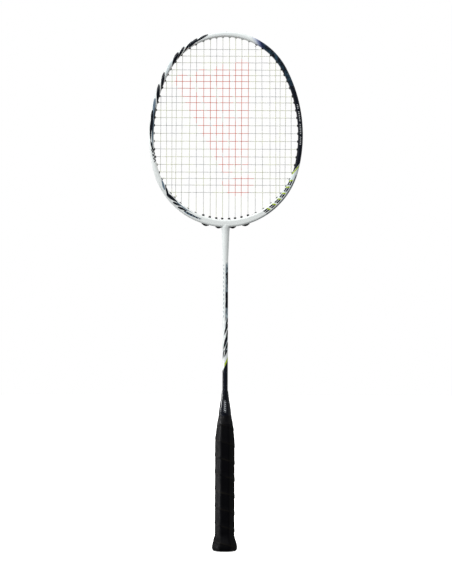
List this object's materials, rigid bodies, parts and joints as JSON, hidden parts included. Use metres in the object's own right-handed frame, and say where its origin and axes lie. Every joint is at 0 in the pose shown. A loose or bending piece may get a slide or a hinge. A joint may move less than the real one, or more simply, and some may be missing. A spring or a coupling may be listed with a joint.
{
  "type": "badminton racket",
  "caption": "Strung badminton racket with an oval hollow hoop, slim shaft and a wrapped octagonal handle with a flared butt.",
  "frame": {"origin": "centre of the butt's flat end face", "axes": "+Z from the butt along the shaft to the top of the hoop, +X across the hoop, Y normal to the string bed"},
  "size_m": [0.2, 0.0304, 0.675],
  "materials": {
    "frame_paint": "gloss lacquer over moulded composite",
    "shaft_paint": "gloss lacquer over composite tube",
    "wood": "bare, sanded",
    "cap_gloss": "gloss",
    "butt_plastic": "satin",
    "grip_wrap": "soft polyurethane wrap, slightly tacky",
    "finish_tape": "satin film",
    "tack_steel": "bright",
    "grommet_plastic": "moulded",
    "saddle_plastic": "moulded",
    "string_nylon": "coated multifilament"
  },
  "bodies": {
    "root": {"head_frame": "frame_paint", "t_joint": "frame_paint", "shaft": "shaft_paint", "handle_core": "wood", "cone_cap": "cap_gloss", "butt_cap": "butt_plastic", "base_grip": "grip_wrap", "finishing_tape": "finish_tape", "grip_tack": "tack_steel", "grommets_top": "grommet_plastic", "main_string": "string_nylon", "cross_string": "string_nylon", "main_knots": "string_nylon", "cross_knots": "string_nylon", "grommets_shoulder_left": "grommet_plastic", "grommets_shoulder_right": "grommet_plastic", "grommets_side_left": "grommet_plastic", "grommets_side_right": "grommet_plastic", "grommets_lower_left": "grommet_plastic", "grommets_lower_right": "grommet_plastic", "throat_saddle_left_inner": "saddle_plastic", "throat_saddle_left_outer": "saddle_plastic", "throat_saddle_right_inner": "saddle_plastic", "throat_saddle_right_outer": "saddle_plastic"}
  },
  "joints": []
}
